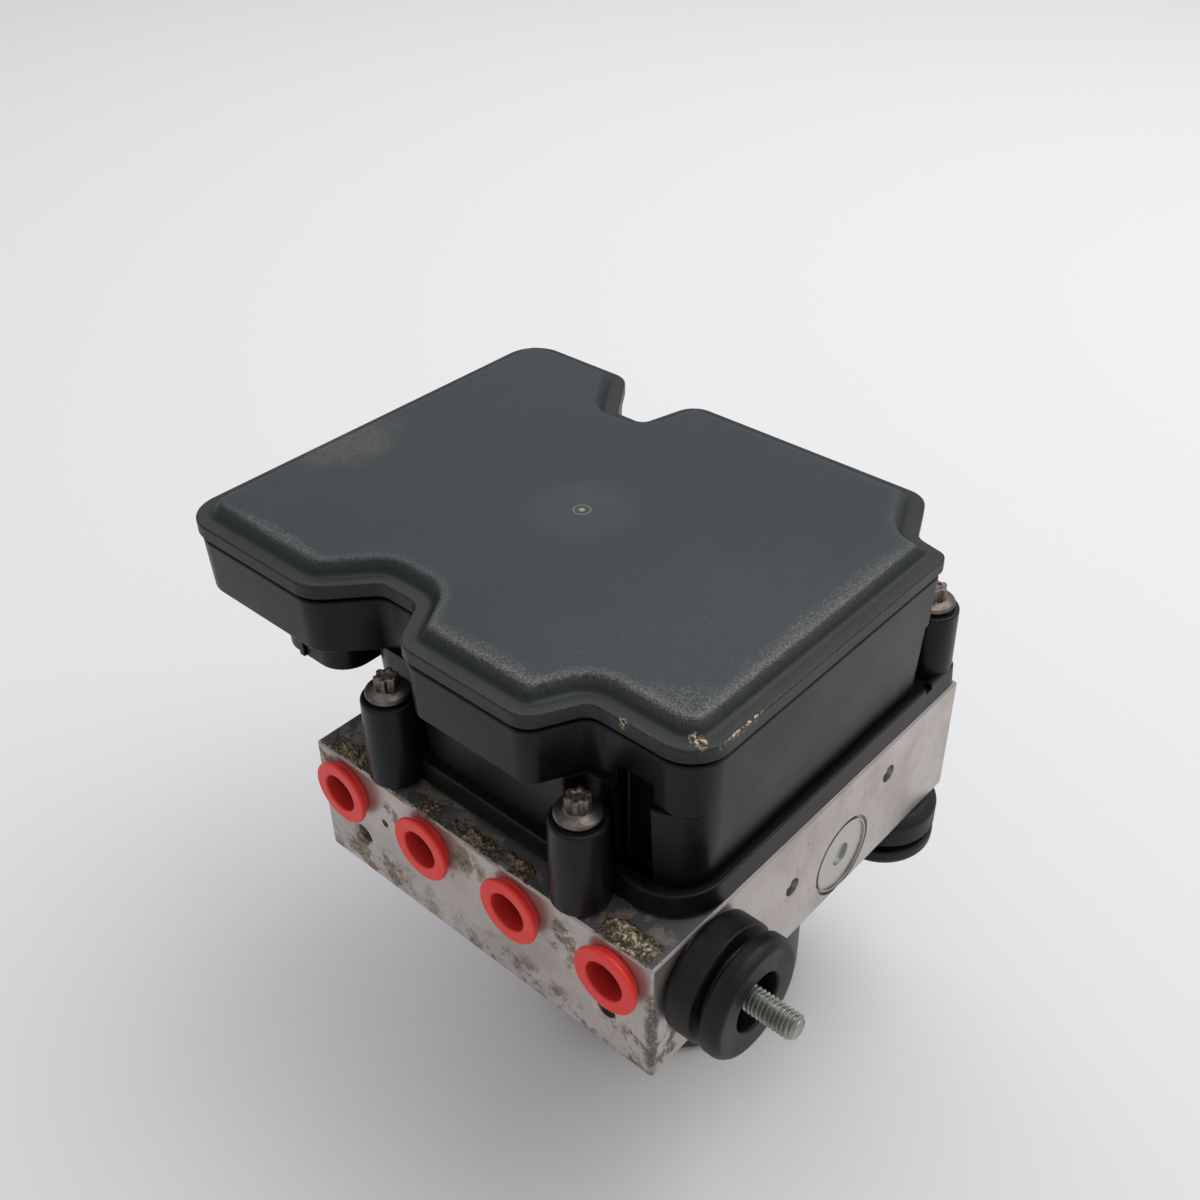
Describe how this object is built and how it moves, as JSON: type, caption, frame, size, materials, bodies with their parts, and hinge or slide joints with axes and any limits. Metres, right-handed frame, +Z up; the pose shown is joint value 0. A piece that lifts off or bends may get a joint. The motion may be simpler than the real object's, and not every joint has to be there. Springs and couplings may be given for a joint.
{
  "type": "abs brake module",
  "caption": "Anti-lock brake hydraulic unit: aluminium valve block with plugged ports, pump motor below, black controller with dark cover above, rubber bushes with studs.",
  "frame": {"origin": "pump motor's axis at the motor's end face, on which the unit stands", "axes": "+Z up through the block to the controller, -Y out of the wheel ports' face, +X out of the face with the side bush"},
  "size_m": [0.1678, 0.1213, 0.1426],
  "materials": {
    "block_aluminium": "machined, dulled by salt and brake dust",
    "housing_plastic": "glass-filled black, satin",
    "cover_plastic": "dark slate, fine moulded grain",
    "seal_rubber": "satin",
    "screw_steel": "grey-brown phosphate",
    "steel": "ground",
    "board": "solder mask",
    "pin_brass": "tinned",
    "coil": "potted winding",
    "plug_red": "soft red polyethylene",
    "cover_steel": "pressed, staked in",
    "piston_plastic": "satin",
    "valve_steel": "turned",
    "motor_black": "black coating, satin",
    "magnet": "sintered",
    "winding": "laminations with lacquered copper",
    "brush_plastic": "moulded",
    "bush_rubber": "satin black",
    "stud_zinc": "zinc, dulled"
  },
  "bodies": {
    "unit": {"accumulator_cover_left": "cover_steel", "accumulator_cover_right": "cover_steel", "accumulator_spring_left": "steel", "accumulator_spring_right": "steel", "block_seal": "seal_rubber", "bottom_bush": "bush_rubber", "brush_gear": "brush_plastic", "circuit_board": "board", "connector_pins": "pin_brass", "cover_seal": "seal_rubber", "ecu_cover": "cover_plastic", "ecu_housing": "housing_plastic", "ecu_screws": "screw_steel", "hydraulic_block": "block_aluminium", "inlet_coils": "coil", "inlet_valve_1": "valve_steel", "inlet_valve_2": "valve_steel", "inlet_valve_3": "valve_steel", "inlet_valve_4": "valve_steel", "master_port_plug_1": "plug_red", "master_port_plug_2": "plug_red", "motor_bearings": "steel", "motor_can": "motor_black", "motor_end_plate": "motor_black", "motor_magnets": "magnet", "motor_screws": "screw_steel", "mount_studs": "stud_zinc", "outlet_coils": "coil", "outlet_valve_1": "valve_steel", "outlet_valve_2": "valve_steel", "outlet_valve_3": "valve_steel", "outlet_valve_4": "valve_steel", "pump_cover_left": "cover_steel", "pump_cover_right": "cover_steel", "pump_cylinder_left": "steel", "pump_cylinder_right": "steel", "pump_spring_left": "steel", "pump_spring_right": "steel", "screw_sleeves": "steel", "sealing_balls": "steel", "side_bush": "bush_rubber", "wheel_port_plug_1": "plug_red", "wheel_port_plug_2": "plug_red", "wheel_port_plug_3": "plug_red", "wheel_port_plug_4": "plug_red"},
    "rotor": {"motor_shaft": "steel", "armature": "winding", "eccentric_bearing": "steel"},
    "pump_piston_right": {"pump_piston_right": "steel"},
    "accumulator_piston_right": {"accumulator_piston_right": "piston_plastic"},
    "pump_piston_left": {"pump_piston_left": "steel"},
    "accumulator_piston_left": {"accumulator_piston_left": "piston_plastic"},
    "inlet_plunger_1": {"inlet_plunger_1": "steel"},
    "inlet_plunger_2": {"inlet_plunger_2": "steel"},
    "inlet_plunger_3": {"inlet_plunger_3": "steel"},
    "inlet_plunger_4": {"inlet_plunger_4": "steel"},
    "outlet_plunger_1": {"outlet_plunger_1": "steel"},
    "outlet_plunger_2": {"outlet_plunger_2": "steel"},
    "outlet_plunger_3": {"outlet_plunger_3": "steel"},
    "outlet_plunger_4": {"outlet_plunger_4": "steel"}
  },
  "joints": [
    {"name": "motor_spin", "type": "hinge", "parent": "unit", "child": "rotor", "pos_m": [0, 0, 0.0718], "axis": [0, 0, 1], "continuous": true},
    {"name": "pump_piston_right_slide", "type": "slide", "parent": "unit", "child": "pump_piston_right", "axis": [1, 0, 0], "range_m": [0, 0.0024], "deforming": ["pump_spring_right"]},
    {"name": "pump_piston_left_slide", "type": "slide", "parent": "unit", "child": "pump_piston_left", "axis": [-1, 0, 0], "range_m": [0, 0.0024], "deforming": ["pump_spring_left"]},
    {"name": "accumulator_piston_right_slide", "type": "slide", "parent": "unit", "child": "accumulator_piston_right", "axis": [0, 1, 0], "range_m": [0, 0.005], "deforming": ["accumulator_spring_right"]},
    {"name": "accumulator_piston_left_slide", "type": "slide", "parent": "unit", "child": "accumulator_piston_left", "axis": [0, 1, 0], "range_m": [0, 0.005], "deforming": ["accumulator_spring_left"]},
    {"name": "inlet_plunger_1_slide", "type": "slide", "parent": "unit", "child": "inlet_plunger_1", "axis": [0, 0, 1], "range_m": [-0.0003, 0]},
    {"name": "inlet_plunger_2_slide", "type": "slide", "parent": "unit", "child": "inlet_plunger_2", "axis": [0, 0, 1], "range_m": [-0.0003, 0]},
    {"name": "inlet_plunger_3_slide", "type": "slide", "parent": "unit", "child": "inlet_plunger_3", "axis": [0, 0, 1], "range_m": [-0.0003, 0]},
    {"name": "inlet_plunger_4_slide", "type": "slide", "parent": "unit", "child": "inlet_plunger_4", "axis": [0, 0, 1], "range_m": [-0.0003, 0]},
    {"name": "outlet_plunger_1_slide", "type": "slide", "parent": "unit", "child": "outlet_plunger_1", "axis": [0, 0, 1], "range_m": [0, 0.0003]},
    {"name": "outlet_plunger_2_slide", "type": "slide", "parent": "unit", "child": "outlet_plunger_2", "axis": [0, 0, 1], "range_m": [0, 0.0003]},
    {"name": "outlet_plunger_3_slide", "type": "slide", "parent": "unit", "child": "outlet_plunger_3", "axis": [0, 0, 1], "range_m": [0, 0.0003]},
    {"name": "outlet_plunger_4_slide", "type": "slide", "parent": "unit", "child": "outlet_plunger_4", "axis": [0, 0, 1], "range_m": [0, 0.0003]}
  ]
}
